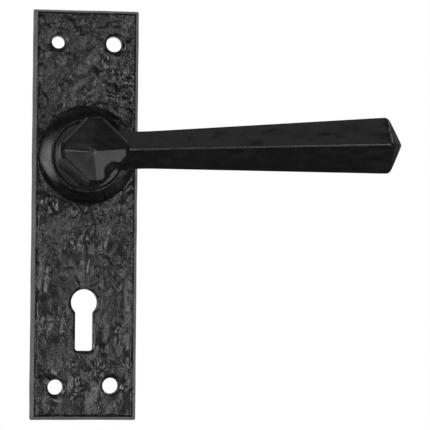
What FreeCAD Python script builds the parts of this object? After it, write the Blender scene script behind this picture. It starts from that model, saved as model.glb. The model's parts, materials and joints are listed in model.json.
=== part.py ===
import FreeCAD, Part
import math
import os
from FreeCAD import Vector

# A sprung lever handle on a long back plate, in millimetres.
# Origin: the spindle's axis at the door face. +X runs along the lever, +Y into the door, +Z up.

# Back plate: a slab whose four sides lean in towards the front, with a round boss for the lever.
plate_width = 42.0
plate_height = 162.0
plate_thick = 5.0
side_lean = 1.45
corner_radius = 0.8
spindle_below_top = 58.7

key_drop = 57.0
key_round_radius = 5.2
key_slot_width = 7.0
key_slot_length = 19.0
key_corner_radius = 1.2

screw_hole_radius = 3.05
screw_spacing = 21.8
screw_edge = 13.5
screw_sink_radius = 3.9

boss_root_radius = 19.5
boss_waist_radius = 16.7
boss_waist_height = 5.2
boss_top_radius = 14.5
boss_height = 11.2
boss_edge_radius = 0.6

# Bearing: a flanged bush in the boss, which carries the lever's journal.
seat_radius = 13.6
seat_depth = 1.4
web_thick = 4.0
bush_radius = 10.2
bush_flange = 0.7
bush_flange_radius = 13.3
running_gap = 0.06

# Lever casting.
collar_radius = 13.1
collar_thick = 2.9
journal_radius = 9.0
neck_corner = 12.9
neck_flat = 11.0
neck_bevel = 1.2
knuckle_front = 50.0
knuckle_point = 4.0
lever_lift_deg = 2.0
arm_axis_out = 43.3
arm_start_half = 6.6
arm_end_half = 11.2
arm_depth_ratio = 0.72
arm_length = 114.1
arm_point = 4.2
arm_round = 0.7

# Spindle, and the screw that holds it in the lever.
spindle_side = 8.0
spindle_slack = 0.1
spindle_length = 105.0
spindle_inside = 31.0
spindle_bevel = 0.8
grub_radius = 2.5
grub_length = 6.0
grub_out = 26.0
grub_key_width = 2.5
grub_slack = 0.05

# Return mechanism, in two round recesses behind the boss.
cam_recess_radius = 17.2
cam_recess_depth = 5.0
spring_recess_radius = 13.7
tail_flat = 7.0
tail_end = 0.4
cam_thick = 2.0
cam_radius = 14.1
cam_tab_radius = 16.7
cam_tab_half_deg = 8.0
swing_deg = 45.0
stop_pin_radius = 1.1
stop_pin_circle = 15.6
stop_pin_length = 5.0
stop_pin_proud = 2.4
stop_gap_deg = 0.25
wave_height = 0.7
wave_sheet = 0.3
wave_count = 3
wave_inner = 9.3
wave_outer = 11.6
clip_thick = 1.2
clip_groove_radius = 8.5
clip_outer_radius = 10.9
clip_gap_half = 3.2
clip_ear_circle = 10.9
clip_ear_radius = 1.9
clip_ear_hole = 0.9
clip_slack = 0.04
wire_radius = 0.8
coil_radius = 11.8
coil_turns = 2.5
coil_pitch = 1.66
bend_radius = 1.6
leg_hole_radius = 1.2
leg_reach = 2.6

# Places worked out from the sizes above. Depths are y values: the front of the handle is negative.
plate_top = spindle_below_top
plate_bottom = spindle_below_top - plate_height
plate_front = -plate_thick
boss_front = plate_front - boss_height
seat_floor = boss_front + seat_depth
web_back = seat_floor + web_thick
collar_back = seat_floor - bush_flange - running_gap
collar_front = collar_back - collar_thick
cam_front = -cam_recess_depth + 0.1
cam_back = cam_front + cam_thick
clip_front = cam_back + wave_height
clip_back = clip_front + clip_thick
coil_front = web_back + wire_radius + 0.05
coil_back = coil_front + coil_turns * coil_pitch
leg_start_deg = 90.0
cam_tab_rest_deg = -swing_deg / 2

y_axis = Vector(0, 1, 0)
origin = Vector(0, 0, 0)


def turned(points):
    """A solid of revolution about the spindle's axis, from (radius, y) corners."""
    corners = [Vector(r, y, 0) for r, y in points]
    face = Part.Face(Part.makePolygon(corners + corners[:1]))
    return face.revolve(origin, y_axis, 360)


def rod(radius, y_from, y_to, x=0.0, z=0.0):
    """A round bar along Y between two depths."""
    return Part.makeCylinder(radius, y_to - y_from, Vector(x, y_from, z), y_axis)


def bar(width, height, y_from, y_to):
    """A rectangular bar along Y, centred on the spindle's axis."""
    corner = Vector(-width / 2, y_from, -height / 2)
    return Part.makeBox(width, y_to - y_from, height, corner)


def around(radius, angle_deg):
    """x and z of a point at an angle from straight up, turning towards +X."""
    angle = math.radians(angle_deg)
    return radius * math.sin(angle), radius * math.cos(angle)


def flat_sided(faces):
    """A solid from lists of corner points, one list for each flat face, all turning the same way."""
    made = [Part.Face(Part.makePolygon(points + points[:1])) for points in faces]
    return Part.makeSolid(Part.makeShell(made))


def pointed_bar(rings, point):
    """A bar through rings of corners, flat-sided, with a low pyramid on its last ring."""
    count = len(rings[0])
    pairs = [(i, (i + 1) % count) for i in range(count)]
    faces = [rings[0][::-1]]
    for start, end in zip(rings, rings[1:]):
        faces += [[start[i], start[k], end[k], end[i]] for i, k in pairs]
    last = rings[-1]
    faces += [[last[i], last[k], point] for i, k in pairs]
    if flat_sided(faces).Volume < 0:
        faces = [points[::-1] for points in faces]
    return flat_sided(faces)


def edges_near(shape, test):
    """The edges whose two end points both pass a test."""
    return [e for e in shape.Edges if all(test(v.Point) for v in e.Vertexes)]


def save(shape, name):
    """Writes one sub-part and prints its volume as a check."""
    shape = shape.removeSplitter()
    shape.exportStep("parts/" + name + ".step")
    state = "" if shape.isValid() else "  NOT VALID"
    print(f"{name}: {len(shape.Solids)} solid(s), {shape.Volume:.1f} mm3{state}")


def sloped_slab():
    """The plate's slab, wide at the door face and narrower at the front, with soft corners."""
    half = plate_width / 2
    slab = Part.makeWedge(
        -half + side_lean, plate_front, plate_bottom + side_lean,
        plate_bottom, -half,
        half - side_lean, 0.0, plate_top - side_lean,
        plate_top, half,
    )
    corners = [e for e in slab.Edges if abs(e.Vertexes[0].Y - e.Vertexes[1].Y) > 1]
    return slab.makeFillet(corner_radius, corners)


def boss_solid():
    """The round boss: a hollow-sided foot that rises from the plate to a flat rim."""
    waist = Vector(boss_waist_radius, plate_front - boss_waist_height, 0)
    root = Vector(boss_root_radius, plate_front, 0)
    shoulder = Vector(boss_top_radius, boss_front + boss_edge_radius, 0)
    rim = Vector(boss_top_radius - boss_edge_radius, boss_front, 0)
    bend = boss_edge_radius * (1 - math.sqrt(0.5))
    edge_middle = Vector(boss_top_radius - bend, boss_front + bend, 0)
    back = -plate_thick / 2
    edges = [
        Part.Arc(root, waist, shoulder).toShape(),
        Part.Arc(shoulder, edge_middle, rim).toShape(),
        Part.makeLine(rim, Vector(0, boss_front, 0)),
        Part.makeLine(Vector(0, boss_front, 0), Vector(0, back, 0)),
        Part.makeLine(Vector(0, back, 0), Vector(boss_root_radius, back, 0)),
        Part.makeLine(Vector(boss_root_radius, back, 0), root),
    ]
    return Part.Face(Part.Wire(edges)).revolve(origin, y_axis, 360)


def keyhole_cutter():
    """A round key shaft hole over a straight slot with rounded lower corners."""
    front, back = plate_front - 1, 1.0
    low = -key_drop - key_slot_length
    corner = Vector(-key_slot_width / 2, front, low)
    slot = Part.makeBox(key_slot_width, back - front, key_slot_length, corner)
    lower = edges_near(slot, lambda p: abs(p.z - low) < 0.01)
    lower = [e for e in lower if abs(e.Vertexes[0].Y - e.Vertexes[1].Y) > 1]
    slot = slot.makeFillet(key_corner_radius, lower)
    return slot.fuse(rod(key_round_radius, front, back, 0, -key_drop))


def screw_places():
    """x and z of the four fixing screws."""
    rows = (plate_top - screw_edge, plate_bottom + screw_edge)
    return [(side * screw_spacing / 2, z) for z in rows for side in (-1, 1)]


def screw_cutter(x, z):
    """One screw hole with a shallow sunk rim."""
    hole = rod(screw_hole_radius, plate_front - 1, 1.0, x, z)
    depth = screw_sink_radius - screw_hole_radius
    top = Vector(x, plate_front, z)
    sink = Part.makeCone(screw_sink_radius, screw_hole_radius, depth, top, y_axis)
    return hole.fuse(sink)


def stop_pin_places():
    """x and z of the two stop pins, one beyond each end of the cam tab's swing."""
    pin_half = math.degrees(math.asin(stop_pin_radius / stop_pin_circle))
    clear = cam_tab_half_deg + pin_half + stop_gap_deg
    first = cam_tab_rest_deg - clear
    last = cam_tab_rest_deg + swing_deg + clear
    return [around(stop_pin_circle, angle) for angle in (first, last)]


def stop_pins():
    """Two steel pins pressed into the ledge between the recesses."""
    back = -cam_recess_depth + stop_pin_proud
    return [rod(stop_pin_radius, back - stop_pin_length, back, x, z) for x, z in stop_pin_places()]


def backplate():
    """The cast plate: slab and boss, less its holes, bearing seat and recesses."""
    body = sloped_slab().fuse(boss_solid())
    body = body.cut(rod(seat_radius, boss_front - 1, seat_floor))
    body = body.cut(rod(bush_radius, seat_floor - 1, web_back + 1))
    body = body.cut(rod(spring_recess_radius, web_back, 1))
    body = body.cut(rod(cam_recess_radius, -cam_recess_depth, 1))
    leg = spring_leg(-1)
    body = body.cut(rod(leg_hole_radius, web_back - leg_reach - 0.4, web_back + 1, leg.x, leg.z))
    for pin in stop_pins():
        body = body.cut(pin)
    body = body.cut(keyhole_cutter())
    for x, z in screw_places():
        body = body.cut(screw_cutter(x, z))
    return body


def neck_ring(inset, y):
    """The neck's section: a square stood on one corner, its corners cut blunt."""
    corner = neck_corner - inset
    side = (neck_flat - inset) * math.sqrt(2) - corner
    outline = [
        (corner, -side), (corner, side), (side, corner), (-side, corner),
        (-corner, side), (-corner, -side), (-side, -corner), (side, -corner),
    ]
    return [Vector(x, y, z) for x, z in outline]


def neck():
    """The square neck, stood on its corner, bevelled into the low pyramid that faces the user."""
    rings = [
        neck_ring(0, collar_front + 0.6),
        neck_ring(0, -knuckle_front + neck_bevel),
        neck_ring(neck_bevel, -knuckle_front),
    ]
    return pointed_bar(rings, Vector(0, -knuckle_front - knuckle_point, 0))


def arm_ring(half, x):
    """The four corners of the arm's section at x: upright rhombus, deeper than it is thick."""
    deep = half * arm_depth_ratio
    y = -arm_axis_out
    return [Vector(x, y - deep, 0), Vector(x, y, -half), Vector(x, y + deep, 0), Vector(x, y, half)]


def arm():
    """The tapered arm, thickest at its far end, with a low pyramid on it."""
    tip = Vector(arm_length + arm_point, -arm_axis_out, 0)
    body = pointed_bar([arm_ring(arm_start_half, 1.0), arm_ring(arm_end_half, arm_length)], tip)
    long_edges = [e for e in body.Edges if abs(e.Vertexes[0].X - e.Vertexes[1].X) > 50]
    return body.makeFillet(arm_round, long_edges)


def journal():
    """Collar, round journal and flatted tail with a clip groove, turned about the spindle's axis."""
    groove_front = clip_front - clip_slack
    groove_back = clip_back + clip_slack
    body = turned([
        (0, collar_front), (collar_radius - 0.5, collar_front), (collar_radius, collar_front + 0.5),
        (collar_radius, collar_back), (journal_radius, collar_back), (journal_radius, groove_front),
        (clip_groove_radius, groove_front), (clip_groove_radius, groove_back),
        (journal_radius, groove_back), (journal_radius, -tail_end - 0.4),
        (journal_radius - 0.4, -tail_end), (0, -tail_end),
    ])
    for side in (-1, 1):
        low = tail_flat if side > 0 else -tail_flat - 10
        flat = Part.makeBox(40, 10, 10, Vector(-20, cam_front, low))
        body = body.cut(flat)
    return body


def lever():
    """The lever casting: arm, square neck, collar and journal in one piece, bored for the spindle."""
    upper = neck().fuse(arm())
    upper.rotate(origin, y_axis, -lever_lift_deg)
    body = upper.fuse(journal())
    side = spindle_side + spindle_slack
    body = body.cut(bar(side, side, -spindle_inside - 1, 1))
    hole_radius = grub_radius + grub_slack
    hole_top = Vector(0, -grub_out, 0)
    hole = Part.makeCylinder(hole_radius, neck_corner + 2, hole_top, Vector(0, 0, -1))
    return body.cut(hole)


def neck_bush():
    """Flanged plastic bush: the sleeve carries the journal, the flange carries the collar."""
    inner = journal_radius + running_gap
    flange_front = seat_floor - bush_flange
    return turned([
        (inner, flange_front), (bush_flange_radius, flange_front), (bush_flange_radius, seat_floor),
        (bush_radius, seat_floor), (bush_radius, web_back), (inner, web_back),
    ])


def sector(radius, half_deg, middle_deg, y_from, y_to):
    """A pie slice about the spindle's axis, cut from a disc."""
    left = around(radius * 1.5, middle_deg - half_deg)
    right = around(radius * 1.5, middle_deg + half_deg)
    points = [Vector(0, y_from, 0), Vector(left[0], y_from, left[1]), Vector(right[0], y_from, right[1])]
    wedge = Part.Face(Part.makePolygon(points + points[:1])).extrude(Vector(0, y_to - y_from, 0))
    return wedge.common(rod(radius, y_from, y_to))


def coil_place(turn):
    """The middle of the coil's wire, a number of turns on from its front end."""
    x, z = around(coil_radius, leg_start_deg + 360 * turn)
    return Vector(x, coil_front + coil_pitch * turn, z)


def coil_heading(turn):
    """The wire's direction there: round the axis, and a little towards the door."""
    angle = math.radians(leg_start_deg + 360 * turn)
    rise = coil_pitch / (2 * math.pi * coil_radius)
    return Vector(math.cos(angle), rise, -math.sin(angle)).normalize()


def spring_bend(end, steps=6):
    """The quarter bend at one end of the coil, from the coil to the leg: places with directions."""
    turn = 0 if end < 0 else coil_turns
    heading = coil_heading(turn)
    lengthwise = (y_axis - heading * heading.y).normalize()
    sideways = Vector(heading.x, 0, heading.z).normalize()
    centre = coil_place(turn) + lengthwise * (end * bend_radius)
    stations = []
    for i in range(steps + 1):
        angle = math.pi / 2 * i / steps
        reach = sideways * math.sin(angle) - lengthwise * math.cos(angle)
        along = sideways * math.cos(angle) + lengthwise * math.sin(angle)
        stations.append((centre + reach * (end * bend_radius), along))
    return stations


def spring_leg(end):
    """Where a leg leaves its bend: the front one for -1, the back one for 1."""
    return spring_bend(end)[-1][0]


def wire_ring(place, along, outward):
    """The wire's round outline across its direction, always started on its outer side."""
    across = along.cross(outward)
    points = []
    for i in range(8):
        angle = math.pi / 4 * i
        points.append(place + (outward * math.cos(angle) + across * math.sin(angle)) * wire_radius)
    outline = Part.BSplineCurve()
    outline.interpolate(points, PeriodicFlag=True)
    return Part.Wire(outline.toShape())


def cam_plate():
    """The steel disc on the lever's tail: its tab meets the stop pins and it drives the spring."""
    disc = rod(cam_radius, cam_front, cam_back)
    tab = sector(cam_tab_radius, cam_tab_half_deg, cam_tab_rest_deg, cam_front, cam_back)
    body = disc.fuse(tab)
    hole = rod(journal_radius + running_gap, cam_front - 1, cam_back + 1)
    flats = bar(40, 2 * (tail_flat + running_gap), cam_front - 1, cam_back + 1)
    body = body.cut(hole.common(flats))
    leg = spring_leg(1)
    return body.cut(rod(leg_hole_radius, cam_front - 1, cam_back + 1, leg.x, leg.z))


def return_spring():
    """Torsion spring: a coil of round wire with its two ends bent straight along the axis."""
    front, back = spring_bend(-1), spring_bend(1)
    steps = round(24 * coil_turns)
    turns = [coil_turns * i / steps for i in range(1, steps)]
    stations = [(Vector(front[-1][0].x, web_back - leg_reach, front[-1][0].z), y_axis)]
    stations += front[::-1] + [(coil_place(t), coil_heading(t)) for t in turns] + back
    stations += [(Vector(back[-1][0].x, cam_back - 0.3, back[-1][0].z), y_axis)]
    rings = []
    for place, along in stations:
        outward = Vector(place.x, 0, place.z)
        outward = (outward - along * outward.dot(along)).normalize()
        rings.append(wire_ring(place, along, outward))
    return Part.makeLoft(rings, True, True)


def wave_ring(radius, lift):
    """A closed curve about the spindle's axis that rises and falls wave_count times."""
    swing = (wave_height - wave_sheet) / 2
    middle = cam_back + swing
    points = []
    steps = 24 * wave_count
    for i in range(steps):
        angle = 2 * math.pi * i / steps
        y = middle + lift + swing * 0.96 * math.cos(wave_count * angle)
        points.append(Vector(radius * math.sin(angle), y, radius * math.cos(angle)))
    curve = Part.BSplineCurve()
    curve.interpolate(points, PeriodicFlag=True)
    return curve.toShape()


def wave_washer():
    """Thin wavy spring washer that takes up end play between the cam plate and the clip."""
    inner_low, outer_low = wave_ring(wave_inner, 0), wave_ring(wave_outer, 0)
    inner_high, outer_high = wave_ring(wave_inner, wave_sheet), wave_ring(wave_outer, wave_sheet)
    pairs = [(inner_low, outer_low), (outer_low, outer_high), (outer_high, inner_high), (inner_high, inner_low)]
    shell = Part.makeShell([Part.makeRuledSurface(a, b) for a, b in pairs])
    shell.sewShape()
    solid = Part.makeSolid(shell)
    if solid.Volume < 0:
        solid.reverse()
    return solid


def circlip():
    """External retaining ring with a gap between two eyes for the pliers, in the tail's groove."""
    body = rod(clip_outer_radius, clip_front, clip_back)
    eyes = [around(clip_ear_circle, side * 22.0) for side in (-1, 1)]
    for x, z in eyes:
        body = body.fuse(rod(clip_ear_radius, clip_front, clip_back, x, z))
    body = body.cut(rod(clip_groove_radius + clip_slack, clip_front - 1, clip_back + 1))
    gap = Part.makeBox(2 * clip_gap_half, 4, 30, Vector(-clip_gap_half, clip_front - 1, 0))
    body = body.cut(gap)
    for x, z in eyes:
        body = body.cut(rod(clip_ear_hole, clip_front - 1, clip_back + 1, x, z))
    return body


def spindle():
    """The square bar that turns the latch, bevelled at both ends."""
    back = spindle_length - spindle_inside
    body = bar(spindle_side, spindle_side, -spindle_inside, back)
    ends = [e for e in body.Edges if abs(e.Vertexes[0].Y - e.Vertexes[1].Y) < 0.01]
    return body.makeChamfer(spindle_bevel, ends)


def grub_screw():
    """Headless screw under the neck, with a hexagon socket, that bears on the spindle."""
    top = -spindle_side / 2
    down = Vector(0, 0, -1)
    body = Part.makeCylinder(grub_radius, grub_length, Vector(0, -grub_out, top), down)
    ends = [e for e in body.Edges if len(e.Vertexes) == 1]
    body = body.makeChamfer(0.4, ends)
    across = grub_key_width / math.sqrt(3)
    angles = [math.radians(60 * i) for i in range(6)]
    low = top - grub_length
    points = [Vector(across * math.cos(a), -grub_out + across * math.sin(a), low) for a in angles]
    socket = Part.Face(Part.makePolygon(points + points[:1])).extrude(Vector(0, 0, 2.5))
    return body.cut(socket)


def main():
    os.makedirs("parts", exist_ok=True)
    save(backplate(), "backplate")
    save(lever(), "lever")
    save(neck_bush(), "neck_bush")
    save(cam_plate(), "cam_plate")
    save(return_spring(), "return_spring")
    save(wave_washer(), "wave_washer")
    save(circlip(), "circlip")
    save(spindle(), "spindle")
    save(grub_screw(), "grub_screw")
    pins = stop_pins()
    save(Part.makeCompound(pins), "stop_pins")


main()
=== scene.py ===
import json
import math

import bmesh
import bpy
import numpy as np
from mathutils import Matrix, Vector


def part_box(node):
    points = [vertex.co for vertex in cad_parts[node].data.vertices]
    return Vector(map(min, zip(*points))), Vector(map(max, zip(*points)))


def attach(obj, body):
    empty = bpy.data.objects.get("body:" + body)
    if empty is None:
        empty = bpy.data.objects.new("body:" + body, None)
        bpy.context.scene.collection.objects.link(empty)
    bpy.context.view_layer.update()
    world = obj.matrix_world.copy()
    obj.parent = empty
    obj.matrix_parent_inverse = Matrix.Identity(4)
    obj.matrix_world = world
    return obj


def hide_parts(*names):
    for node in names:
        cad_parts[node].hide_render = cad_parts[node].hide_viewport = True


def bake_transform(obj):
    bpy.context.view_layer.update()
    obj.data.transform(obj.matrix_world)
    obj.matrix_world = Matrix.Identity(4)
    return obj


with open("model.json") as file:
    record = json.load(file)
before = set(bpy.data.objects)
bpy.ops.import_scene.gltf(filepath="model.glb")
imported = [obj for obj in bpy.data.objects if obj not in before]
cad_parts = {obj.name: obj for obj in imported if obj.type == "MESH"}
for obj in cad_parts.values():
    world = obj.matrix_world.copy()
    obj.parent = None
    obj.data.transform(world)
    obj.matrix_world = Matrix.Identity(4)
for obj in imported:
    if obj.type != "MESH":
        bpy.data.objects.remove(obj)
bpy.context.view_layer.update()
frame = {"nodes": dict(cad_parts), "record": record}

mm = 0.001  # sizes below are in millimetres, meshes are in metres
mounts = {mount["name"]: mount for mount in frame["record"]["mounts"]}
print("frame loaded:", ", ".join(sorted(frame["nodes"])))


def boxInMm(node):
    # a CAD node's lowest and highest corners
    low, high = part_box(node)
    return np.array(low) / mm, np.array(high) / mm


def blendStep(low, high, value):
    # 0 at low, 1 at high, 3t^2 - 2t^3 between
    t = np.clip((value - low) / (high - low), 0, 1)
    return t * t * (3 - 2 * t)


def bell(distance, width):
    # 1 at no distance, falling off as exp(-(distance / width)^2)
    return np.exp(-(distance / width) ** 2)


def softMin(a, b, width):
    # the smaller of two lengths, rounded over where they meet: -w log(exp(-a/w) + exp(-b/w))
    low = np.minimum(a, b)
    return low - width * np.log1p(np.exp(-np.abs(a - b) / width))


def onSheet(x, z):
    # places on the flat sheet y = 0
    return np.stack([x, np.zeros_like(x), z], axis=-1)


def cellValue(ix, iy, iz, seed):
    # a repeatable number from -1 to 1 for each whole-number cell, by mixing the bits of its counts
    n = (ix * 73856093) ^ (iy * 19349663) ^ (iz * 83492791) ^ (seed * 15485863)
    n = ((n ^ (n >> 13)) * 1274126177) & 0x7FFFFFFF
    n = ((n ^ (n >> 15)) * 668265263) & 0x7FFFFFFF
    return n / 0x3FFFFFFF - 1.0


def softNoise(points, size, seed):
    # the eight cell values round each point, mixed by 3t^2 - 2t^3 along each axis
    scaled = points / size
    cell = np.floor(scaled).astype(np.int64)
    t = scaled - cell
    t = t * t * (3 - 2 * t)
    total = 0
    for corner in np.ndindex(2, 2, 2):
        share = np.prod(np.where(corner, t, 1 - t), axis=-1)
        total = total + share * cellValue(*np.moveaxis(cell + corner, -1, 0), seed)
    return total


def hammerMarks(points, spacing, tilt, softness, seed):
    # one scattered mark for each cell, holding a flat tilted at random; a point takes the mean of the
    # flats near it, weighted by exp(-distance^2 / softness^2), so they meet in soft ridges and valleys
    scatter, rise = 0.42, 0.3  # how far a mark strays in its cell, and how far flats differ in height
    cell = np.floor(points / spacing).astype(np.int64)
    distances, heights = [], []
    for step in np.ndindex(3, 3, 3):
        mark = cell + step - 1
        counts = np.moveaxis(mark, -1, 0)
        stray = np.stack([cellValue(*counts, seed + k) for k in range(3)], axis=-1)
        away = points - (mark + 0.5 + scatter * stray) * spacing
        lean = np.stack([cellValue(*counts, seed + 3 + k) for k in range(3)], axis=-1) * tilt
        lift = cellValue(*counts, seed + 6) * tilt * spacing * rise
        distances.append(np.sum(away ** 2, axis=-1))
        heights.append(np.sum(away * lean, axis=-1) + lift)
    distances = np.array(distances)
    weights = np.exp((distances.min(axis=0) - distances) / softness ** 2)
    return np.sum(weights * np.array(heights), axis=0) / weights.sum(axis=0)


def hewnFacets(x, z, size, seed):
    # random heights from -1 to 1 at the corners of a lattice of triangles, each triangle a flat between
    # its three, so the flats meet in crisp ridges and valleys
    latticeSkew = 0.366  # makes the two triangles of a square cell even-sided
    skew = (x + z) * latticeSkew
    across, up = (x + skew) / size, (z + skew) / size
    i, j = np.floor(across).astype(np.int64), np.floor(up).astype(np.int64)
    u, v = across - i, up - j
    side = (u > v).astype(np.int64)
    zero = np.zeros_like(i)
    corners = ((0, 0), (side, 1 - side), (1, 1))
    near, middle, far = (cellValue(i + a, j + b, zero, seed) for a, b in corners)
    high, low = np.maximum(u, v), np.minimum(u, v)
    return near * (1 - high) + middle * (high - low) + far * low


def ridgeAngles(count):
    # angles round a four-sided outline, closer together at its ridges: 45 (0.35 u + 0.65 u^3) degrees
    # from each ridge
    steps = np.arange(count // 8) / (count // 8)
    half = (0.35 * steps + 0.65 * steps ** 3) * math.pi / 4
    quarter = np.concatenate([half, math.pi / 2 - np.append(half[1:], math.pi / 4)[::-1]])
    return np.concatenate([quarter + k * math.pi / 2 for k in range(4)])


def gridQuads(rows, columns, closed):
    # the four corners of each cell of a grid of points; closed joins the last column to the first
    across = np.arange(columns if closed else columns - 1)
    start = (np.arange(rows - 1) * columns)[:, None]
    here, following = start + across, start + (across + 1) % columns
    return np.stack([here, following, following + columns, here + columns], axis=-1).reshape(-1, 4)


def roundBar(radius, low, high, sides):
    # the points and cells of a closed bar along Z: radius times the cosine and sine of the angle
    angles = np.arange(sides) * 2 * math.pi / sides
    rows = np.array([(0.0, low), (radius, low), (radius, high), (0.0, high)])
    flat = rows[:, :1] * np.cos(angles), rows[:, :1] * np.sin(angles)
    points = np.stack([*flat, rows[:, 1:] + 0 * angles], axis=-1)
    return points.reshape(-1, 3), gridQuads(len(rows), sides, True)


def makePiece(name, points, quads, triangles=()):
    # the surface in metres, with doubles merged, every face turned outwards, and smooth
    quads, triangles = np.reshape(quads, (-1, 4)), np.reshape(triangles, (-1, 3))
    corners = np.concatenate([quads.ravel(), triangles.ravel()]).astype(np.int32)
    sizes = np.concatenate([np.full(len(quads), 4), np.full(len(triangles), 3)])
    mesh = bpy.data.meshes.new(name)
    mesh.vertices.add(len(points))
    mesh.vertices.foreach_set("co", (np.asarray(points) * mm).ravel())
    mesh.loops.add(len(corners))
    mesh.loops.foreach_set("vertex_index", corners)
    mesh.polygons.add(len(sizes))
    starts = np.concatenate([[0], np.cumsum(sizes)[:-1]])
    mesh.polygons.foreach_set("loop_start", starts.astype(np.int32))
    mesh.update(calc_edges=True)
    mesh.validate()
    tidy = bmesh.new()
    tidy.from_mesh(mesh)
    bmesh.ops.remove_doubles(tidy, verts=tidy.verts, dist=0.002 * mm)
    bmesh.ops.recalc_face_normals(tidy, faces=tidy.faces)
    openEdges = sum(1 for edge in tidy.edges if not edge.is_manifold)
    tidy.to_mesh(mesh)
    tidy.free()
    mesh.polygons.foreach_set("use_smooth", np.ones(len(mesh.polygons), bool))
    piece = bpy.data.objects.new(name, mesh)
    bpy.context.scene.collection.objects.link(piece)
    print(name, "made,", len(mesh.polygons), "faces,", openEdges, "open edges")
    return piece


def combine(piece, other, operation):
    # joins or cuts two closed surfaces, and keeps the result as the piece's own mesh
    step = piece.modifiers.new(operation, "BOOLEAN")
    step.operation, step.object, step.solver = operation, other, "EXACT"
    result = piece.evaluated_get(bpy.context.evaluated_depsgraph_get())
    mesh = bpy.data.meshes.new_from_object(result)
    piece.modifiers.clear()
    piece.data = mesh
    bpy.data.objects.remove(other)


# finishes

def newFinish(name):
    # an empty finish, with its nodes and its main shader
    finish = bpy.data.materials.new(name)
    finish.use_nodes = True
    tree = finish.node_tree
    return finish, tree, tree.nodes["Principled BSDF"]


def addNode(tree, kind, settings=None, **inputs):
    # a node with its settings, and each input either linked or given its value
    node = tree.nodes.new(kind)
    for key, value in (settings or {}).items():
        setattr(node, key, value)
    for key, value in inputs.items():
        socket = node.inputs[key.replace("_", " ")]
        if isinstance(value, bpy.types.NodeSocket):
            tree.links.new(value, socket)
        else:
            socket.default_value = value
    return node


def joinNumbers(tree, operation, first, second):
    # the sum, difference or product of two node outputs
    node = addNode(tree, "ShaderNodeMath", {"operation": operation})
    tree.links.new(first, node.inputs[0])
    tree.links.new(second, node.inputs[1])
    return node.outputs[0]


def speckle(tree, place, size, detail=2.0, stretch=(1, 1, 1)):
    # a noise with lumps about `size` millimetres across, from 0 to 1
    turned = addNode(tree, "ShaderNodeMapping", Vector=place)
    turned.inputs["Scale"].default_value = stretch
    noise = addNode(tree, "ShaderNodeTexNoise", Vector=turned.outputs[0], Detail=detail)
    noise.inputs["Scale"].default_value = 1 / (size * mm)
    return noise.outputs["Fac"]


def ranged(tree, value, low, high, fromLow=0.35, fromHigh=0.65):
    # low up to fromLow, high from fromHigh on, and a straight ramp between
    node = addNode(tree, "ShaderNodeMapRange", Value=value, To_Min=low, To_Max=high)
    node.inputs["From Min"].default_value = fromLow
    node.inputs["From Max"].default_value = fromHigh
    return node.outputs["Result"]


def mixedColour(tree, share, dark, light):
    # dark (1 - share) + light share
    node = addNode(tree, "ShaderNodeMix", {"data_type": "RGBA"})
    tree.links.new(share, node.inputs["Factor"])
    node.inputs["A"].default_value = (*dark, 1)
    node.inputs["B"].default_value = (*light, 1)
    return node.outputs["Result"]


def addBump(tree, shader, height, strength, distance):
    # tilts the shading as if the skin stood up by height times distance
    bump = addNode(tree, "ShaderNodeBump", Height=height, Strength=strength, Distance=distance * mm)
    tree.links.new(bump.outputs[0], shader.inputs["Normal"])


blackCoat = {  # grain: size and depth of the fine roughness
    "deep": (0.0062, 0.0064, 0.0068), "patchSize": 9, "dustSize": 2.2,
    "plateCoat": {"dust": (0.024, 0.0243, 0.025), "roughness": (0.15, 0.27), "grain": (1.1, 0.42),
                  "stretch": (1, 1, 1)},
    "leverCoat": {"dust": (0.015, 0.0152, 0.0156), "roughness": (0.20, 0.32), "grain": (1.1, 0.03),
                  "stretch": (0.35, 1, 1)},
}
steel = {
    "zincPlate": {"dark": (0.50, 0.51, 0.50), "light": (0.68, 0.68, 0.66), "roughness": (0.24, 0.38),
                  "stretch": (1, 0.05, 1)},
    "springSteel": {"dark": (0.16, 0.16, 0.17), "light": (0.30, 0.30, 0.31), "roughness": (0.28, 0.42),
                    "stretch": (0.4, 1, 0.4)},
}
bearingPlastic = {"dark": (0.020, 0.020, 0.021), "light": (0.032, 0.032, 0.034), "roughness": (0.42, 0.55)}


def coatFinish(name):
    # black baked coat over a rough casting: dust and fine grain in patches, and a gloss broken up by them
    look = blackCoat[name]
    finish, tree, shader = newFinish(name)
    place = addNode(tree, "ShaderNodeTexCoord").outputs["Object"]
    patches = speckle(tree, place, blackCoat["patchSize"], 3, look["stretch"])
    grainSize, grainDepth = look["grain"]
    grains = speckle(tree, place, grainSize, 3)
    dust = speckle(tree, place, blackCoat["dustSize"], 5, look["stretch"])
    dusty = ranged(tree, dust, 0.0, 1.0, 0.42, 0.70)
    share = joinNumbers(tree, "MULTIPLY", ranged(tree, patches, 0.15, 1.0), dusty)
    tree.links.new(mixedColour(tree, share, blackCoat["deep"], look["dust"]), shader.inputs["Base Color"])
    tree.links.new(ranged(tree, dust, *look["roughness"]), shader.inputs["Roughness"])
    height = joinNumbers(tree, "MULTIPLY", ranged(tree, patches, 0.25, 1.0), grains)
    addBump(tree, shader, height, 1.0, grainDepth)
    return finish


def metalFinish(name):
    # plated or oiled steel: drawn lines along the stock, and a mottled sheen
    look = steel[name]
    finish, tree, shader = newFinish(name)
    place = addNode(tree, "ShaderNodeTexCoord").outputs["Object"]
    mottle = speckle(tree, place, 4, 4)
    lines = speckle(tree, place, 0.25, 2, look["stretch"])
    colour = mixedColour(tree, ranged(tree, mottle, 0, 1), look["dark"], look["light"])
    tree.links.new(colour, shader.inputs["Base Color"])
    tree.links.new(ranged(tree, mottle, *look["roughness"]), shader.inputs["Roughness"])
    shader.inputs["Metallic"].default_value = 1.0
    addBump(tree, shader, lines, 0.5, 0.01)
    return finish


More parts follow.
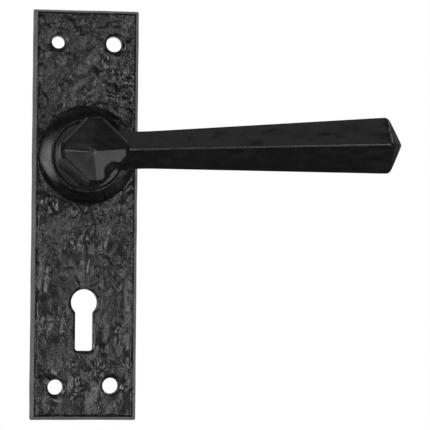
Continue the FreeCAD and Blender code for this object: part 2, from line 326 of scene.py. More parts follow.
def plasticFinish(name):
    # moulded bearing plastic: even, waxy, with a faint moulded grain
    look = bearingPlastic
    finish, tree, shader = newFinish(name)
    place = addNode(tree, "ShaderNodeTexCoord").outputs["Object"]
    mottle = speckle(tree, place, 3, 3)
    grain = speckle(tree, place, 0.3, 2)
    colour = mixedColour(tree, ranged(tree, mottle, 0, 1), look["dark"], look["light"])
    tree.links.new(colour, shader.inputs["Base Color"])
    tree.links.new(ranged(tree, mottle, *look["roughness"]), shader.inputs["Roughness"])
    addBump(tree, shader, grain, 0.4, 0.02)
    return finish


plateCoat, leverCoat = coatFinish("plateCoat"), coatFinish("leverCoat")
zincPlate, springSteel = metalFinish("zincPlate"), metalFinish("springSteel")
bushPlastic = plasticFinish("bushPlastic")
print("finishes made")


# back plate

plateShape = {
    "thick": 5.0, "sideLean": 1.45, "arris": 0.09, "cornerRadius": 0.8,
    "edgeWave": 0.16, "waveReach": 4,  # how far the edges wander inwards, and how far in that is felt
    "groove": (0.34, 0.18, 0.25), "bead": (0.80, 0.20, 0.17),  # distance inside the arris, width, depth
    "keyRound": 5.2, "keyDrop": 57.0, "keySlotHalf": 3.5, "keySlotLength": 19.0, "keyCorner": 1.2,
    "screwSink": (1.4, 0.6), "keyLip": (1.0, 0.55),  # width and depth of the dished edges of the holes
    "screwDrift": (  # X, Z and radius of each screw hole, off the drawing
        (-0.16, -0.45, -0.08), (-0.35, 0.2, 0.08), (-0.25, 0.2, -0.48), (-0.08, -0.2, 0.08),
    ),
    "gridStep": 0.45, "wallRows": 5,
    "sideSteps": (  # grid lines near the edge: on the slope, then across the groove and bead
        0, 0.2, 0.45, 0.7, 0.95, 1.15, 1.32, 1.45, 1.56, 1.67, 1.78, 1.89, 2.0, 2.12, 2.24, 2.36, 2.5,
    ),
}
plateRelief = {
    "facets": ((5.6, 0.62, 0.0), (2.7, 0.42, 0.35), (1.45, 0.22, 0.85)),  # size, height, roughest share
    "patches": (11, 4.5), "grain": 0.07, "grains": (1.0, 1.9), "limit": 0.75,
    "warp": 0.8, "warpSize": 5.5,
    "streaks": (-40, 0), "slant": 0.26, "stretch": 0.66,  # heights between which the flats turn to streaks
    "edgeFade": (0.1, 0.9), "holeFade": (0.1, 1.1), "footFade": (0.1, 0.9), "footRagged": 0.5,
}
bossShape = {
    "root": 19.5, "waist": (17.0, 9.2), "rim": 14.5, "rimEdge": 0.5,
    "rootPull": (-0.7, 0.5), "waistPull": (0.5, 1.4),  # how the foot's hollow leaves the plate and the wall
    "seat": 13.35, "seatEdge": 0.12, "seatDepth": 1.4, "bore": 10.2, "web": 4.0,
    "springRecess": 13.7, "camRecess": 17.2, "backEdge": 0.7,
    "footDrift": (0.45, 0.9), "driftFade": (0.2, 5.0),  # the cast foot sits a little off the machined seat
    "ripple": (3.2, 0.10),
}

plateLow, plateHigh = boxInMm("backplate")
halfWidth, halfHeight = plateHigh[0], (plateHigh[2] - plateLow[2]) / 2
plateMiddle = (plateHigh[2] + plateLow[2]) / 2
bossFront = plateLow[1]
screws = mounts["screw_holes"]["dims"]
screwMiddle = mounts["screw_holes"]["pos_m"][2] / mm
screwOut, screwUp = screws["spacing_x_mm"] / 2, screws["spacing_y_mm"] / 2
screwPlaces = [(sx * screwOut, screwMiddle + sz * screwUp) for sz in (-1, 1) for sx in (-1, 1)]


def screwDistance(x, z):
    # distance outside the nearest screw hole, each drilled a little off its place
    edges = []
    for (sx, sz), (dx, dz, dr) in zip(screwPlaces, plateShape["screwDrift"]):
        edges.append(np.hypot(x - sx - dx, z - sz - dz) - screws["hole_r_mm"] - dr)
    return np.min(edges, axis=0)


def keyDistance(x, z):
    # distance outside the keyhole: the smaller of a circle's and a round-cornered slot's
    s = plateShape
    circle = np.hypot(x, z + s["keyDrop"]) - s["keyRound"]
    halfLength = s["keySlotLength"] / 2
    qx = np.abs(x) - s["keySlotHalf"] + s["keyCorner"]
    qz = np.abs(z + s["keyDrop"] + halfLength) - halfLength + s["keyCorner"]
    slot = np.hypot(np.maximum(qx, 0), np.maximum(qz, 0)) + np.minimum(np.maximum(qx, qz), 0) - s["keyCorner"]
    return np.minimum(circle, slot)


def holeDistance(x, z, middle):
    # distance outside the nearest hole of a sheet whose middle hole is given as X, Z and radius
    others = np.minimum(screwDistance(x, z), keyDistance(x, z))
    return np.minimum(others, np.hypot(x - middle[0], z - middle[1]) - middle[2])


def edgeLines(half, middle):
    # grid lines across the plate, close together on its sloped sides
    near = np.array(plateShape["sideSteps"])
    inner = half - near[-1] - plateShape["gridStep"]
    count = round(2 * inner / plateShape["gridStep"]) + 1
    return middle + np.concatenate([near - half, np.linspace(-inner, inner, count), (half - near)[::-1]])


def punchedSheet(middle):
    # a grid without the cells whose middles are in a hole; each corner on a cut edge then moves onto the
    # hole's outline, down the slope of the distance to it
    xs, zs = edgeLines(halfWidth, 0), edgeLines(halfHeight, plateMiddle)
    x, z = (a.ravel() for a in np.meshgrid(xs, zs))
    cells = gridQuads(len(zs), len(xs), False)
    outside = holeDistance(x[cells].mean(axis=1), z[cells].mean(axis=1), middle) > 0
    kept = cells[outside]
    rim = np.intersect1d(kept, cells[~outside])
    nudge = 0.01
    for _ in range(4):
        away = holeDistance(x[rim], z[rim], middle)
        slopeX = holeDistance(x[rim] + nudge, z[rim], middle) - away
        slopeZ = holeDistance(x[rim], z[rim] + nudge, middle) - away
        steep = np.maximum((slopeX ** 2 + slopeZ ** 2) / nudge, 1e-9)
        x[rim] -= away * slopeX / steep
        z[rim] -= away * slopeZ / steep
    return x, z, kept, rim


def softenOutline(x, z):
    # rounds the four corners in plan, and lets the cast edges wander inwards a little
    radius, wave, reachIn = (plateShape[key] for key in ("cornerRadius", "edgeWave", "waveReach"))
    up = z - plateMiddle
    dx, dz = np.abs(x) - halfWidth + radius, np.abs(up) - halfHeight + radius
    reach = np.hypot(dx, dz)
    shrink = np.where((dx > 0) & (dz > 0) & (reach > radius), radius / np.maximum(reach, 1e-9), 1)
    roundX = np.sign(x) * (np.abs(x) + dx * (shrink - 1))
    roundZ = plateMiddle + np.sign(up) * (np.abs(up) + dz * (shrink - 1))
    apart = 40  # keeps the waves of opposite edges different
    waveX = softNoise(onSheet(np.sign(x) * apart, z), 9, 21) + 1
    waveZ = softNoise(np.stack([x, np.zeros_like(x), np.sign(up) * apart], axis=-1), 7, 22) + 1
    nearX = blendStep(halfWidth - reachIn, halfWidth, np.abs(x))
    nearZ = blendStep(halfHeight - reachIn, halfHeight, np.abs(up))
    roundX -= np.sign(x) * nearX * waveX * wave / 2
    roundZ -= np.sign(up) * nearZ * waveZ * wave / 2
    return roundX, roundZ


def castRelief(x, z):
    # hewn flats of three sizes, the smaller ones mostly in rough patches, and grain on top; below the boss
    # the flats are drawn out into slanting streaks, by turning the sheet and shortening its height first
    r = plateRelief
    sheet = onSheet(x, z)
    bentX = x + r["warp"] * softNoise(sheet, r["warpSize"], 71)
    bentZ = z + r["warp"] * softNoise(sheet, r["warpSize"], 72)
    low = 1 - blendStep(*r["streaks"], z)
    drawnX = bentX * math.cos(r["slant"]) - bentZ * math.sin(r["slant"])
    drawnZ = (bentX * math.sin(r["slant"]) + bentZ * math.cos(r["slant"])) * r["stretch"]
    broad, small = r["patches"]
    patch = softNoise(sheet, broad, 41) + 0.5 * softNoise(sheet, small, 42) + 0.2 - 0.35 * low
    patch = blendStep(-0.3, 0.5, patch)
    fine, coarse = r["grains"]
    height = r["grain"] * (softNoise(sheet, fine, 51) + 0.6 * softNoise(sheet, coarse, 52)) * (0.15 + patch)
    for k, (size, amount, rough) in enumerate(r["facets"]):
        plain, drawn = hewnFacets(bentX, bentZ, size, 11 + k), hewnFacets(drawnX, drawnZ, size, 21 + k)
        facets = (1 - low) * plain + low * drawn
        height += amount * facets * (1 - rough + rough * 1.6 * patch)
    return r["limit"] * np.tanh(height / r["limit"])


def plateFront(x, z):
    # depth of the front: the sides climb evenly to the flat and are rounded over there, with a groove and
    # a bead inside the arris; the relief fades out at the arris, the holes' lips and the boss's foot
    s, r = plateShape, plateRelief
    inside = np.minimum(halfWidth - np.abs(x), halfHeight - np.abs(z - plateMiddle))
    rise = softMin(np.full_like(x, s["thick"]), s["thick"] * inside / s["sideLean"], s["arris"])
    rise = np.where(inside < 1e-6, 0, rise)
    sheet = onSheet(x, z)
    fromArris = inside - s["sideLean"]
    where, width, deep = s["groove"]
    line = deep * bell(fromArris - where, width) * (0.9 + 0.5 * softNoise(sheet, 3, 83))
    where, width, high = s["bead"]
    line -= high * bell(fromArris - where, width) * (0.8 + 0.8 * softNoise(sheet, 1.6, 84))
    fromScrew, fromKey = screwDistance(x, z), keyDistance(x, z)
    sinkWidth, sinkDepth = s["screwSink"]
    lipWidth, lipDepth = s["keyLip"]
    sink = sinkDepth * (1 - blendStep(0, sinkWidth, fromScrew))
    lip = lipDepth * (1 - blendStep(0, lipWidth, fromKey))
    fromBoss = np.hypot(x - bossShape["footDrift"][0], z - bossShape["footDrift"][1]) - bossShape["root"]
    ragged = 0.6 * softNoise(sheet, 2.6, 81) + 0.4 * softNoise(sheet, 6, 82)
    show = blendStep(*r["edgeFade"], fromArris) * blendStep(*r["holeFade"], np.minimum(fromScrew, fromKey))
    show = show * blendStep(*r["footFade"], fromBoss + r["footRagged"] * ragged)
    return -(rise - line - np.maximum(sink, lip) + show * castRelief(x, z))


def bossProfile():
    # radius and depth: up a hollow foot, a curve with two pulls, and a straight wall round the rim; then
    # down inside from the seat to the back
    b = bossShape
    front = -plateShape["thick"]
    t = np.linspace(0, 1, 15)[:, None]
    root, waist = np.array([b["root"], front]), np.array([b["waist"][0], -b["waist"][1]])
    near, far = root + np.array(b["rootPull"]) * [1, -1], waist + np.array(b["waistPull"])
    foot = (1 - t) ** 3 * root + 3 * t * (1 - t) ** 2 * near + 3 * t ** 2 * (1 - t) * far + t ** 3 * waist
    shoulder = np.array([b["rim"], bossFront + b["rimEdge"]])
    wall = waist + np.linspace(0, 1, 12)[1:, None] * (shoulder - waist)
    turn = np.linspace(0, math.pi / 2, 7)[1:]
    edge = shoulder + b["rimEdge"] * np.stack([np.cos(turn) - 1, -np.sin(turn)], axis=-1)
    seatFloor = bossFront + b["seatDepth"]
    webBack = seatFloor + b["web"]
    hollow = np.array([
        [b["seat"] + b["seatEdge"], bossFront], [b["seat"], bossFront + b["seatEdge"]],
        [b["seat"], seatFloor], [b["bore"], seatFloor], [b["bore"], webBack],
        [b["springRecess"], webBack], [b["springRecess"], front],
        [b["camRecess"], front], [b["camRecess"], -b["backEdge"]],
    ])
    return np.concatenate([foot[1:], wall, edge]), hollow


def bossRings(angles):
    # the profile turned round the spindle's axis; its outside is a little uneven and drifts with the foot
    b = bossShape
    outside, hollow = bossProfile()
    radius, depth = np.concatenate([outside, hollow]).T[:, :, None]
    rings = np.stack([radius * np.cos(angles), depth + 0 * angles, radius * np.sin(angles)], axis=-1)
    isOutside = np.arange(len(radius))[:, None] < len(outside)
    drift = isOutside * (1 - blendStep(*b["driftFade"], -plateShape["thick"] - depth))
    size, amount = b["ripple"]
    rings[..., 1] -= softNoise(rings, size, 61) * amount * drift
    rings[..., 0] += b["footDrift"][0] * drift
    rings[..., 2] += b["footDrift"][1] * drift
    return rings


def joinLoops(first, firstAngles, second, secondAngles):
    # a strip of triangles between two rings with different counts: walking round both by angle, each new
    # corner makes a triangle with the last two
    order = np.argsort(np.concatenate([firstAngles, secondAngles]), kind="stable")
    isFirst = order < len(first)
    a = np.cumsum(isFirst) - 1
    b = np.cumsum(~isFirst) - 1
    before = np.where(isFirst, first[a - 1], second[b - 1])
    return np.stack([before, first[a], second[b]], axis=-1)


def ringOf(x, z, rim, middle):
    # the corners on the middle hole's edge in order of angle
    fromMiddle = np.hypot(x[rim] - middle[0], z[rim] - middle[1])
    loop = rim[np.abs(fromMiddle - middle[2]) < 0.05]
    angles = np.arctan2(z[loop] - middle[1], x[loop] - middle[0])
    order = np.argsort(angles)
    return loop[order], angles[order]


def cutSides(cells, rim):
    # the sides that belong to one cell only and have both ends on the rim
    sides = np.concatenate([cells[:, [k, (k + 1) % 4]] for k in range(4)])
    _, where, counts = np.unique(np.sort(sides, axis=1), axis=0, return_index=True, return_counts=True)
    sides = sides[where[counts == 1]]
    return sides[np.isin(sides, rim).all(axis=1)]


def wallQuads(sides, rim, rows, start):
    # the cells of the holes' walls: under each side of the rim, one cell for each step down
    place = np.zeros(rim.max() + 1, np.int64)
    place[rim] = np.arange(len(rim))
    first, second = place[sides[:, 0]], place[sides[:, 1]]
    quads = []
    for row in range(rows - 1):
        near = start + row * len(rim)
        far = near + len(rim)
        quads.append(np.stack([near + second, near + first, far + first, far + second], axis=-1))
    return np.concatenate(quads)


def makePlate():
    # two punched sheets, the front one carrying the relief, joined by the holes' walls and the boss
    b, rows = bossShape, plateShape["wallRows"]
    frontHole, backHole = (*b["footDrift"], b["root"]), (0.0, 0.0, b["camRecess"])
    frontX, frontZ, frontCells, frontRim = punchedSheet(frontHole)
    backX, backZ, backCells, backRim = punchedSheet(backHole)
    rootLoop, rootAngles = ringOf(frontX, frontZ, frontRim, frontHole)
    backLoop, backAngles = ringOf(backX, backZ, backRim, backHole)
    holeRim = np.setdiff1d(frontRim, rootLoop)
    frontY = plateFront(frontX, frontZ)
    frontX, frontZ = softenOutline(frontX, frontZ)
    front = np.stack([frontX, frontY, frontZ], axis=-1)
    back = onSheet(*softenOutline(backX, backZ))
    walls = [front[holeRim] * [1, 1 - level, 1] for level in np.linspace(0, 1, rows)]
    rings = bossRings(rootAngles)
    points = [front, back, *walls, front[rootLoop], rings.reshape(-1, 3)]
    wallStart = len(front) + len(back)
    bossStart = wallStart + rows * len(holeRim)
    quads = [
        frontCells, backCells + len(front),
        wallQuads(cutSides(frontCells, holeRim), holeRim, rows, wallStart),
        gridQuads(len(rings) + 1, len(rootLoop), True) + bossStart,
    ]
    lastRing = bossStart + len(rings) * len(rootLoop) + np.arange(len(rootLoop))
    triangles = joinLoops(lastRing, rootAngles, backLoop + len(front), backAngles)
    return makePiece("plateCasting", np.concatenate(points), np.concatenate(quads), triangles)


backPlate = makePlate()
backPlate.data.materials.append(plateCoat)
backPlate.data.set_sharp_from_angle(angle=math.radians(50))
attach(backPlate, "plate")
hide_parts("backplate")


# lever

tailShape = {
    "spindleHalf": 4.05, "spindleDeep": 32.0, "spindleSteps": (20.0, 8.0, 0.8), "spindleFlare": 0.25,
    "tailEnd": 0.4, "tailEdge": 0.5, "journal": 9.0, "groove": 8.5, "grooveDepths": (0.96, 2.24),
    "flatDepth": 4.9, "flatHalf": 7.0,
    "collar": 13.1, "collarBack": 15.56, "collarFront": 18.46, "collarEdge": 0.4,
}
neckShape = {
    "lift": 2.0, "flat": 11.0, "corner": 13.0, "arris": 0.22, "land": 0.13, "foot": 0.8,
    "front": 50.0, "bevel": 1.2, "bevelRound": 0.10, "bevelSteps": (0.08, 0.2, 0.5, 0.8, 0.92, 1.0),
    "point": 4.0, "pointBlunt": 0.15, "pointShift": (-1.0, -0.9),
    "marksFade": (4, 2), "faceFade": 0.15, "faceMarks": 0.35,
    "rowStep": 0.7, "faceRows": 25, "around": 240,
    "chip": {"middle": 6.9, "along": -0.7, "reach": 2.8, "length": 3.1, "slope": 0.36, "depth": 1.0},
}
armShape = {
    "axisOut": 43.3, "start": 2.0, "growFrom": 1.0, "startHalf": 6.6, "endHalf": 11.2, "end": 114.1,
    "tip": 118.3, "deepRatio": 0.72, "edgeRound": 0.25, "land": 0.14,
    "rootFlare": 0.9, "flareFrom": 12.5, "flareFade": 2.6,
    "endBevel": 2.8, "endDrop": 0.15, "endFullness": 0.93, "bevelSteps": (0.8, 0.6, 0.42, 0.27, 0.13, 0.0),
    "marksFrom": (13, 20), "rowStep": 0.8, "pointRows": 9, "around": 144,
}
leverRelief = {  # the broad and small marks: spacing, tilt, softness
    "broad": (9.0, 0.034, 2.4), "small": (4.0, 0.026, 1.2), "grain": 0.010, "grainSize": 2.0,
}

leverLow, _ = boxInMm("lever")
grubLow, grubHigh = boxInMm("grub_screw")


def leverMarks(points, seed):
    # shallow hammer marks and a faint orange-peel skin, as a height along the surface's outward side
    r = leverRelief
    marks = hammerMarks(points, *r["broad"], seed) + hammerMarks(points, *r["small"], seed + 10)
    return marks + r["grain"] * softNoise(points, r["grainSize"], seed + 20)


def ringRadius(kind, angles, size, corner):
    # distance from the axis at each angle: a square for the spindle's hole, a circle for the round parts,
    # and for the neck a square on its corner, cut off by a narrow land and then by a circle
    def squareOf(half, turned):
        # half over the larger of the cosine and sine
        return half / np.maximum(np.abs(np.cos(turned)), np.abs(np.sin(turned)))

    if kind == "square":
        return squareOf(size, angles)
    if kind != "neck":
        return np.full_like(angles, size)
    flat = squareOf(size, angles - math.pi / 4)
    land = squareOf(size * math.sqrt(2) - neckShape["land"] * min(size, 1), angles)
    return softMin(np.minimum(flat, land), np.full_like(angles, corner), neckShape["arris"])


def ring(kind, size, depth, corner=0.0, marks=0.0):
    # depth is measured out from the door; marks is the share of the hammer marks that shows
    return kind, size, depth, corner, marks


def hiddenRings():
    # from the bottom of the spindle's hole out over the flatted tail and the journal, to the collar with
    # its two edges turned as quarter circles
    t = tailShape
    edge, outer = t["collarEdge"], t["collar"]
    rows = [ring("round", 0.0, t["spindleDeep"])]
    rows += [ring("square", t["spindleHalf"], depth) for depth in (t["spindleDeep"], *t["spindleSteps"])]
    rows += [ring("square", t["spindleHalf"] + t["spindleFlare"], t["tailEnd"])]
    rows += [ring("tail", t["journal"] - t["tailEdge"], t["tailEnd"])]
    rows += [ring("tail", t["journal"], t["tailEnd"] + t["tailEdge"])]
    grooveBack, grooveFront = t["grooveDepths"]
    rows += [ring("tail", radius, grooveBack) for radius in (t["journal"], t["groove"])]
    rows += [ring("tail", radius, grooveFront) for radius in (t["groove"], t["journal"])]
    rows += [ring("tail", t["journal"], t["flatDepth"]), ring("round", t["journal"], t["flatDepth"])]
    rows += [ring("round", t["journal"], t["collarBack"]), ring("round", outer - edge, t["collarBack"])]
    for turn in np.linspace(0, math.pi / 2, 4):
        depth = t["collarBack"] + edge * (1 - math.cos(turn))
        rows.append(ring("round", outer - edge * (1 - math.sin(turn)), depth))
    for turn in np.linspace(0, math.pi / 2, 5):
        depth = t["collarFront"] - edge * (1 - math.sin(turn))
        rows.append(ring("round", outer - edge * (1 - math.cos(turn)), depth))
    return rows


def neckRings():
    # a flared foot on the collar, the four long flats, the bevel rounded at both its ends, and the face
    # rising evenly to a blunt point
    t, n = tailShape, neckShape
    rows = []
    for turn in np.linspace(0, math.pi / 2, 5):
        flare = n["foot"] * (1 - math.sin(turn))
        depth = t["collarFront"] + n["foot"] * (1 - math.cos(turn))
        corner = min(n["corner"] + flare, t["collar"] - t["collarEdge"])
        rows.append(ring("neck", n["flat"] + flare, depth, corner))
    first, last = t["collarFront"] + n["foot"], n["front"] - n["bevel"]
    fadeIn, fadeOut = n["marksFade"]
    for depth in np.linspace(first, last, round((last - first) / n["rowStep"]) + 1)[1:]:
        show = blendStep(0, fadeIn, depth - first) * blendStep(0, fadeOut, last - depth)
        rows.append(ring("neck", n["flat"], depth, n["corner"], float(show)))
    for share in n["bevelSteps"]:
        swell = n["bevelRound"] * math.sin(math.pi * share)
        inset = n["bevel"] * share
        depth = last + inset + swell * 0.4
        rows.append(ring("neck", n["flat"] - inset + swell, depth, n["corner"] - inset + swell))
    faceFlat, faceCorner = n["flat"] - n["bevel"], n["corner"] - n["bevel"]
    for share in np.linspace(1, 0, n["faceRows"] + 1)[1:]:
        depth = n["front"] + n["point"] * (1 - share) - n["pointBlunt"] * blendStep(0.10, 0.0, share)
        show = blendStep(0.0, n["faceFade"], share) * blendStep(1.0, 1 - n["faceFade"], share)
        rows.append(ring("neck", faceFlat * share, depth, faceCorner, float(show)))
    return rows


def chipDepth(x, z):
    # a flat struck off the lower right edge of the neck's face: it falls away evenly beyond a line that
    # bows inwards from the edge as exp(-(along / length)^4)
    c = neckShape["chip"]
    fromEdge = math.sqrt(2) * c["middle"] - (x - z) / math.sqrt(2)
    alongEdge = (x + z) / math.sqrt(2) - c["along"]
    return c["slope"] * np.maximum(c["reach"] * np.exp(-(alongEdge / c["length"]) ** 4) - fromEdge, 0)


def makeNeck():
    # one surface of rings round the spindle's axis: radius times cosine and sine, flats cut across the
    # tail, the point moved off the axis, the neck turned by its lift, then marks and chip
    n = neckShape
    angles = ridgeAngles(n["around"])
    rows = hiddenRings() + neckRings()
    kinds = np.array([row[0] for row in rows])[:, None]
    radii = np.array([ringRadius(kind, angles, size, corner) for kind, size, _, corner, _ in rows])
    depth = np.array([row[2] for row in rows])[:, None]
    show = np.array([row[4] for row in rows])[:, None]
    x, z = radii * np.cos(angles), radii * np.sin(angles)
    z = np.where(kinds == "tail", np.clip(z, -tailShape["flatHalf"], tailShape["flatHalf"]), z)
    ahead = blendStep(0, 1, (depth - n["front"]) / n["point"])
    x = x + ahead * n["pointShift"][0]
    z = z + ahead * n["pointShift"][1]
    lift = np.radians(n["lift"]) * (kinds == "neck")
    x, z = x * np.cos(lift) - z * np.sin(lift), x * np.sin(lift) + z * np.cos(lift)
    points = np.stack([x, -depth + 0 * x, z], axis=-1)
    onRidges = np.where(ahead > 0, n["faceMarks"] * np.abs(np.sin(2 * angles)), 1)
    marks = show * leverMarks(points, 101) * onRidges
    outward = np.stack([np.cos(angles) + 0 * x, 0 * x, np.sin(angles) + 0 * x], axis=-1)
    outward = np.where((depth > n["front"])[..., None], np.array([0.0, -1.0, 0.0]), outward)
    points = points + outward * marks[..., None]
    chipStart = n["front"] - n["bevel"] - n["chip"]["depth"]
    points[..., 1] += chipDepth(x, z) * blendStep(chipStart, n["front"], depth)
    points[..., 1] = np.maximum(points[..., 1], leverLow[1])
    return makePiece("leverCasting", points.reshape(-1, 3), gridQuads(len(rows), len(angles), True))


def makeArm():
    # a four-sided outline, 1 / (|cos| / deep + |sin| / half) with its corners softened, carried along X,
    # growing evenly to its end and closed there by a low pyramid
    a = armShape
    angles = ridgeAngles(a["around"])
    body = np.linspace(a["start"], a["end"] - a["endBevel"], round((a["end"] - a["start"]) / a["rowStep"]))
    bevel = a["end"] - a["endBevel"] * np.array(a["bevelSteps"])
    point = a["end"] + (a["tip"] - a["end"]) * np.linspace(0, 1, a["pointRows"] + 1)[1:]
    x = np.concatenate([body, bevel, point])
    grown = (np.minimum(x, a["end"]) - a["growFrom"]) / (a["end"] - a["growFrom"])
    half = a["startHalf"] + (a["endHalf"] - a["startHalf"]) * grown
    half = half + a["rootFlare"] * np.exp(-np.maximum(x - a["flareFrom"], 0) / a["flareFade"])
    past = np.clip((x - a["end"] + a["endBevel"]) / a["endBevel"], 0, 1)
    scale = 1 - a["endDrop"] * past ** 3
    scale = scale * np.clip((a["tip"] - x) / (a["tip"] - a["end"]), 0, 1) ** a["endFullness"]
    soft = (a["edgeRound"] / half)[:, None]
    cosine, sine = np.sqrt(np.cos(angles) ** 2 + soft ** 2), np.sqrt(np.sin(angles) ** 2 + soft ** 2)
    radius = (half * scale)[:, None] / (cosine / a["deepRatio"] + sine)
    y, z = radius * np.cos(angles), radius * np.sin(angles)
    land = np.maximum(np.abs(y).max(axis=1) - a["land"], 0)[:, None]
    y = np.clip(y, -land, land)
    points = np.stack([x[:, None] + 0 * y, y - a["axisOut"], z], axis=-1)
    show = blendStep(*a["marksFrom"], x) * blendStep(a["tip"], a["end"] - 1, x)
    marks = leverMarks(points, 151) * show[:, None] * np.abs(np.sin(2 * angles)) ** 0.7
    length = np.hypot(y, z) + 1e-6
    points[..., 1] += y / length * marks
    points[..., 2] += z / length * marks
    closing = np.tile([a["start"], -a["axisOut"], 0.0], (1, len(angles), 1))
    points = np.concatenate([closing, points])
    lift = math.radians(neckShape["lift"])
    turn = np.array([[math.cos(lift), 0, math.sin(lift)], [0, 1, 0], [-math.sin(lift), 0, math.cos(lift)]])
    return makePiece("arm", (points @ turn).reshape(-1, 3), gridQuads(len(points), len(angles), True))


def makeCutter():
    # a closed round bar where the grub screw goes, from below the neck into the spindle's hole
    clearance, low, into = 0.05, -20.0, 0.5
    radius = (grubHigh[0] - grubLow[0]) / 2 + clearance
    points, quads = roundBar(radius, low, into - tailShape["spindleHalf"], 48)
    return makePiece("screwBore", points + [0, (grubLow[1] + grubHigh[1]) / 2, 0], quads)


lever = makeNeck()
combine(lever, makeArm(), "UNION")
combine(lever, makeCutter(), "DIFFERENCE")
print("lever joined,", len(lever.data.polygons), "faces")
lever.data.materials.clear()
lever.data.materials.append(leverCoat)
lever.data.polygons.foreach_set("use_smooth", np.ones(len(lever.data.polygons), bool))
lever.data.set_sharp_from_angle(angle=math.radians(38))
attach(lever, "handle")
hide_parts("lever")


# return spring

springShape = {
    "wire": 0.8, "coil": 11.8, "turns": 2.5, "pitch": 1.66, "bend": 1.6,
    "coilFront": -9.95, "firstTurn": 0.25,
    "coilSteps": 180, "bendSteps": 8, "legSteps": 4, "around": 16,
    "endRadius": 0.8, "endChamfer": 0.15,
    "twist": (-10.75, -5.0),  # the depths between which it winds up
}


def coilPath(turn):
    # middle and direction of the wire, `turn` turns on: a circle round the axis that climbs by the pitch
    s = springShape
    angle = 2 * math.pi * (s["firstTurn"] + turn)
    depth = s["coilFront"] + s["pitch"] * turn
    place = np.stack([s["coil"] * np.sin(angle), depth, s["coil"] * np.cos(angle)], axis=-1)
    rise = s["pitch"] / (2 * math.pi * s["coil"])
    heading = np.stack([np.cos(angle), rise + 0 * angle, -np.sin(angle)], axis=-1)
    return place, heading / math.sqrt(1 + rise ** 2)


def bendPath(end):
    # the quarter bend at an end of the coil: a circle in the plane of the wire's direction and the axis
    s = springShape
    place, heading = coilPath(np.array([0.0 if end < 0 else s["turns"]]))
    lengthwise = np.array([0.0, 1.0, 0.0]) - heading * heading[:, 1:2]
    lengthwise /= np.linalg.norm(lengthwise)
    sideways = heading * np.array([1.0, 0.0, 1.0])
    sideways /= np.linalg.norm(sideways)
    angle = np.linspace(0, math.pi / 2, s["bendSteps"] + 1)[1:, None]
    reach = sideways * np.sin(angle) + lengthwise * (1 - np.cos(angle))
    return place + reach * end * s["bend"]


def springPath():
    # leg, bend, coil, bend and leg, with the legs straight along the axis to the ends of the CAD spring
    s = springShape
    low, high = boxInMm("return_spring")
    coil, _ = coilPath(np.linspace(0, s["turns"], s["coilSteps"]))
    front, back = bendPath(-1)[::-1], bendPath(1)
    start, finish = front[0] * [1, 0, 1] + [0, low[1], 0], back[-1] * [1, 0, 1] + [0, high[1], 0]
    steps = np.linspace(0, 1, s["legSteps"] + 1)[:, None]
    firstLeg, lastLeg = start + (front[0] - start) * steps[:-1], back[-1] + (finish - back[-1]) * steps[1:]
    return np.concatenate([firstLeg, front, coil, back, lastLeg])


def makeSpring():
    # a round wire carried along the path, each ring square to it, with chamfered and closed ends
    s = springShape
    path = springPath()
    along = np.gradient(path, axis=0)
    along /= np.linalg.norm(along, axis=1, keepdims=True)
    outward = path * [1, 0, 1]
    outward -= along * np.sum(outward * along, axis=1, keepdims=True)
    outward /= np.linalg.norm(outward, axis=1, keepdims=True)
    across = np.cross(along, outward)
    path, along, outward, across = (
        np.concatenate([a[:1], a[:1], a, a[-1:], a[-1:]]) for a in (path, along, outward, across)
    )
    radius = np.full(len(path), s["wire"])
    radius[[0, -1]], radius[[1, -2]] = 0.0, s["wire"] * s["endRadius"]
    path[2] += along[2] * s["endChamfer"]
    path[-3] -= along[-3] * s["endChamfer"]
    angles = np.arange(s["around"]) * 2 * math.pi / s["around"]
    rings = outward[:, None] * np.cos(angles)[:, None] + across[:, None] * np.sin(angles)[:, None]
    points = path[:, None] + rings * radius[:, None, None]
    return makePiece("windingSpring", points.reshape(-1, 3), gridQuads(len(points), len(angles), True))


spring = makeSpring()
spring.data.materials.append(springSteel)
spring.data.set_sharp_from_angle(angle=math.radians(60))
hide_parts("return_spring")
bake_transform(spring)


# the machined parts keep their own shape

partFinish = {
    "neck_bush": bushPlastic, "cam_plate": zincPlate, "stop_pins": zincPlate, "spindle": zincPlate,
    "wave_washer": springSteel, "circlip": springSteel, "grub_screw": springSteel,
}
for node, finish in partFinish.items():
    part = frame["nodes"][node]
    part.data.materials.clear()
    part.data.materials.append(finish)
print("machined parts finished")


# studio: a white surround to look at, a dim one to reflect, and a soft light for each way the flats face

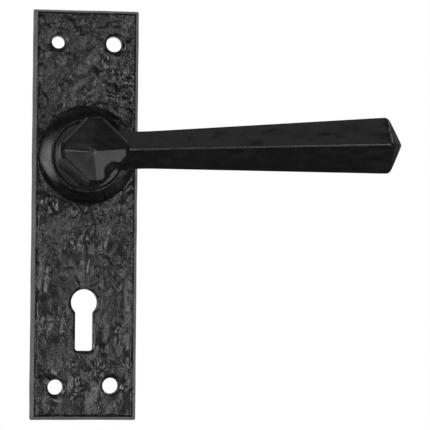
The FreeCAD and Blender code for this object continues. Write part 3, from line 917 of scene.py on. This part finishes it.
studio = {
    "aim": (49.38, -20.0, -22.6), "azimuth": -7.69, "elevation": -2.27, "roll": 0.45, "distance": 900.0,
    "lens": 193.6, "sensor": 36.0,
    "base": 0.11,  # brightness of the surround in reflections, then what is added at the left and behind
    "left": 1.5, "leftEdge": (-0.68, -0.55), "leftDepth": (0.42, 0.68),
    "behind": 0.6, "behindEdge": (0.70, 0.79), "behindFade": 0.35, "fadeEdge": (0.83, 0.93),
}
floorLook = {
    "drop": 300.0, "radius": 620.0, "thick": 6.0, "sides": 96,
    "colour": (0.86, 0.86, 0.85, 1), "roughness": 0.7, "glowColour": (1.0, 1.0, 0.99, 1), "glow": 0.55,
}
softLights = [  # name, direction from the handle, distance, width, height (mm), brightness
    ("frontLight", (0.36, -0.92, -0.09), 1300, 640, 760, 2.2),
    ("sparkLight", (0.40, -0.90, -0.16), 1300, 130, 130, 18.0),
    ("dimFrontLight", (-0.12, -0.98, 0.12), 1300, 600, 900, 0.25),
    ("lowRightLight", (0.61, -0.67, -0.43), 900, 460, 420, 1.5),
    ("lowLeftLight", (-0.38, -0.80, -0.47), 1000, 400, 400, 0.95),
    ("highLeftLight", (-0.37, -0.76, 0.54), 1000, 420, 420, 0.15),
    ("topLight", (0.13, -0.20, 0.97), 1000, 900, 260, 0.39),
    ("upperGlint", (0.13, -0.95, 0.30), 1300, 460, 60, 11.0),
    ("leftStrip", (-0.62, -0.78, 0.02), 1100, 110, 700, 15.0),
    ("upperLeftEdgeLight", (-0.61, -0.07, 0.79), 1000, 300, 300, 1.4),
    ("upperRightEdgeLight", (0.75, 0.12, 0.65), 1000, 300, 300, 1.4),
    ("lowerLeftEdgeLight", (-0.65, -0.12, -0.75), 1000, 300, 300, 1.4),
]


def makeWorld():
    # white to the camera; in reflections the base, plus a patch at the left and a band behind, each a ramp
    # in the direction's X or Y
    s = studio
    world = bpy.data.worlds.new("studioWorld")
    bpy.context.scene.world = world
    world.use_nodes = True
    tree = world.node_tree
    tree.nodes.clear()
    direction = addNode(tree, "ShaderNodeTexCoord").outputs["Generated"]
    parts = addNode(tree, "ShaderNodeSeparateXYZ")
    tree.links.new(direction, parts.inputs[0])
    rightward, backward = parts.outputs["X"], parts.outputs["Y"]
    left = ranged(tree, rightward, s["left"], 0.0, *s["leftEdge"])
    left = joinNumbers(tree, "MULTIPLY", left, ranged(tree, backward, 0.0, 1.0, *s["leftDepth"]))
    behind = ranged(tree, backward, s["base"], s["base"] + s["behind"], *s["behindEdge"])
    deepBehind = ranged(tree, backward, 0.0, s["behindFade"], *s["fadeEdge"])
    behind = joinNumbers(tree, "SUBTRACT", behind, deepBehind)
    reflected = addNode(tree, "ShaderNodeBackground", Strength=joinNumbers(tree, "ADD", left, behind))
    plain = addNode(tree, "ShaderNodeBackground", Color=(1, 1, 1, 1), Strength=1.0)
    either = addNode(tree, "ShaderNodeMixShader")
    seen = addNode(tree, "ShaderNodeLightPath").outputs["Is Camera Ray"]
    for socket, source in zip(either.inputs, (seen, reflected.outputs[0], plain.outputs[0])):
        tree.links.new(source, socket)
    output = addNode(tree, "ShaderNodeOutputWorld")
    tree.links.new(either.outputs[0], output.inputs[0])


def makeLights():
    # each light faces the aim, and its power is brightness times pi times its area
    aim = Vector(studio["aim"]) * mm
    for name, direction, distance, width, height, brightness in softLights:
        data = bpy.data.lights.new(name, "AREA")
        data.shape, data.size, data.size_y = "RECTANGLE", width * mm, height * mm
        data.energy = brightness * math.pi * data.size * data.size_y
        light = bpy.data.objects.new(name, data)
        bpy.context.scene.collection.objects.link(light)
        away = Vector(direction).normalized()
        light.location = aim + away * distance * mm
        light.rotation_euler = away.to_track_quat("Z", "Y").to_euler()
        light.visible_camera = False


def makeFloor():
    # a plain pale disc below the handle
    f = floorLook
    floor = makePiece("floor", *roundBar(f["radius"], -f["drop"], -f["drop"] - f["thick"], f["sides"]))
    finish, tree, shader = newFinish("paleFloor")
    shader.inputs["Base Color"].default_value = f["colour"]
    shader.inputs["Roughness"].default_value = f["roughness"]
    shader.inputs["Emission Color"].default_value = f["glowColour"]
    shader.inputs["Emission Strength"].default_value = f["glow"]
    floor.data.materials.append(finish)
    floor.data.set_sharp_from_angle(angle=math.radians(40))
    floor.visible_glossy = floor.visible_diffuse = False


def makeCamera():
    # stands `distance` from the aim, turned by azimuth and elevation, then rolled about its own axis
    s = studio
    azimuth, elevation, roll = (math.radians(s[key]) for key in ("azimuth", "elevation", "roll"))
    level = Vector((math.sin(azimuth), -math.cos(azimuth), 0)) * math.cos(elevation)
    back = level + Vector((0, 0, math.sin(elevation)))
    right = Vector((0, 0, 1)).cross(back).normalized()
    up = back.cross(right)
    rolledRight = right * math.cos(roll) + up * math.sin(roll)
    rolledUp = up * math.cos(roll) - right * math.sin(roll)
    data = bpy.data.cameras.new("camera")
    data.sensor_width, data.lens = s["sensor"], s["lens"]
    camera = bpy.data.objects.new("camera", data)
    bpy.context.scene.collection.objects.link(camera)
    camera.matrix_world = Matrix((rolledRight, rolledUp, back)).transposed().to_4x4()
    camera.location = (Vector(s["aim"]) + back * s["distance"]) * mm
    bpy.context.scene.camera = camera


makeWorld()
makeLights()
makeFloor()
makeCamera()
bpy.context.scene.view_settings.view_transform = "Standard"
print("studio ready")
